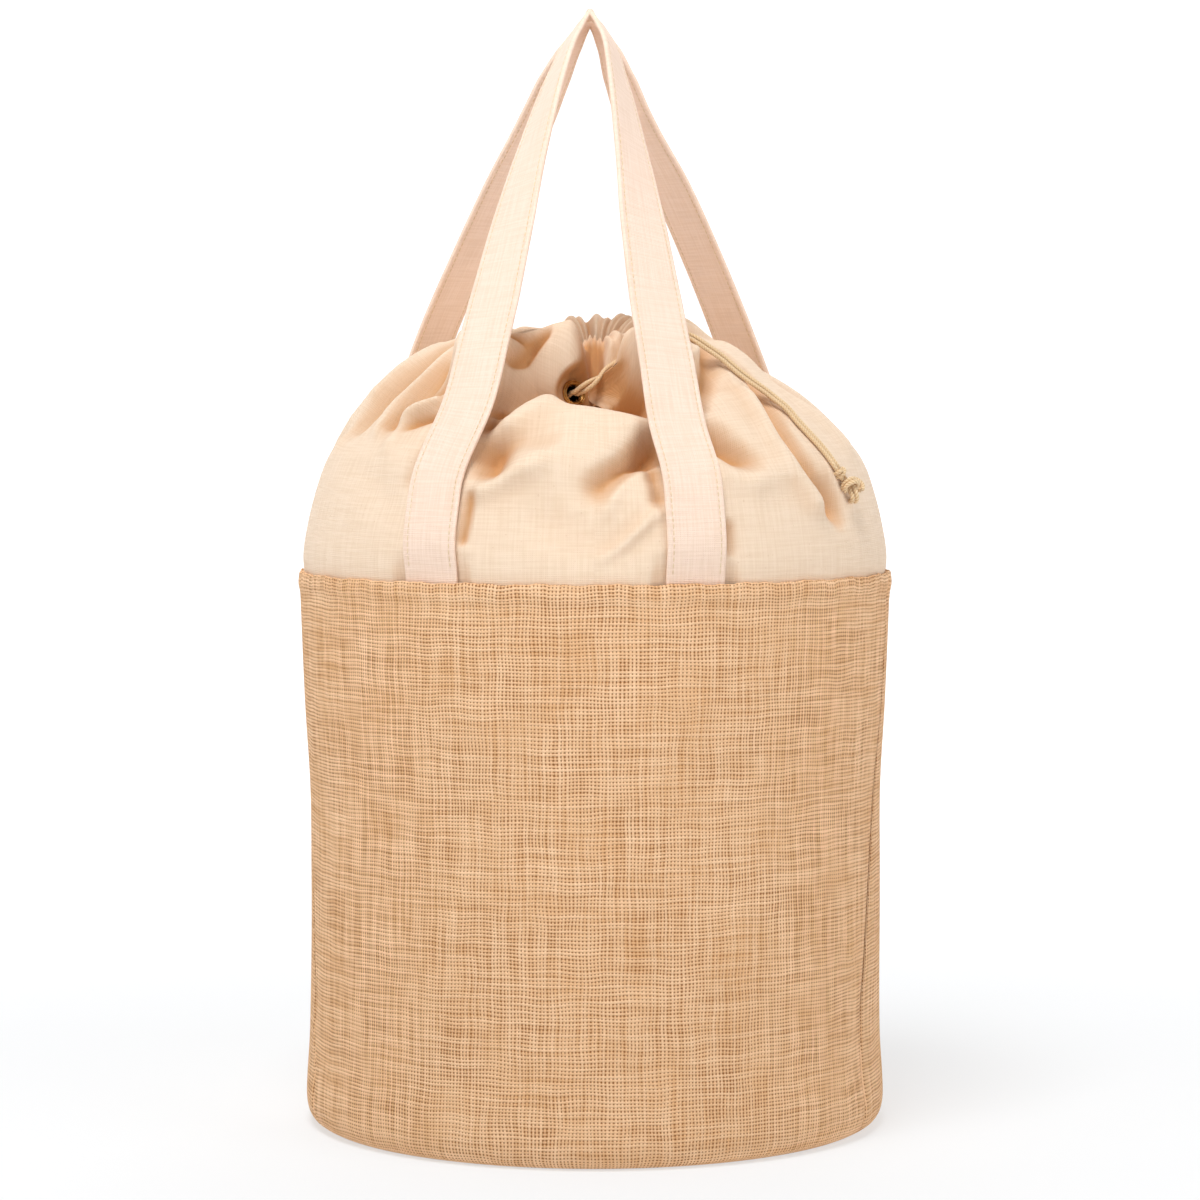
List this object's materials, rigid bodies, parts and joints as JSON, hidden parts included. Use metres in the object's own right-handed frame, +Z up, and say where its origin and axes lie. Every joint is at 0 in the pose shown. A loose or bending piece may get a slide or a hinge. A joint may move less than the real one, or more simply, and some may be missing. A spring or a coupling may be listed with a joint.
{
  "type": "jute and canvas drawstring bucket bag",
  "caption": "Round jute gym bag with a gathered canvas top, a brass eyelet, a knotted drawcord and two canvas strap handles held up to a point.",
  "frame": {"origin": "middle of the base, on the surface the bag stands on", "axes": "+Z up, the front with the eyelet faces -Y, the knotted end of the cord hangs on the +X side"},
  "size_m": [0.3024, 0.3022, 0.5641],
  "materials": {
    "jute": "coarse plain weave, matte",
    "canvas": "fine plain weave, matte",
    "webbing": "folded and edge-stitched canvas, matte",
    "cord": "twisted cotton, matte",
    "brass": "antique, satin"
  },
  "bodies": {
    "root": {"jute_front_panel": "jute", "jute_back_panel": "jute", "jute_base": "jute", "canvas_top": "canvas", "eyelet": "brass", "handle_front": "webbing", "handle_back": "webbing", "drawcord_upper": "cord", "drawcord_lower": "cord", "drawcord_knot": "cord"}
  },
  "joints": []
}
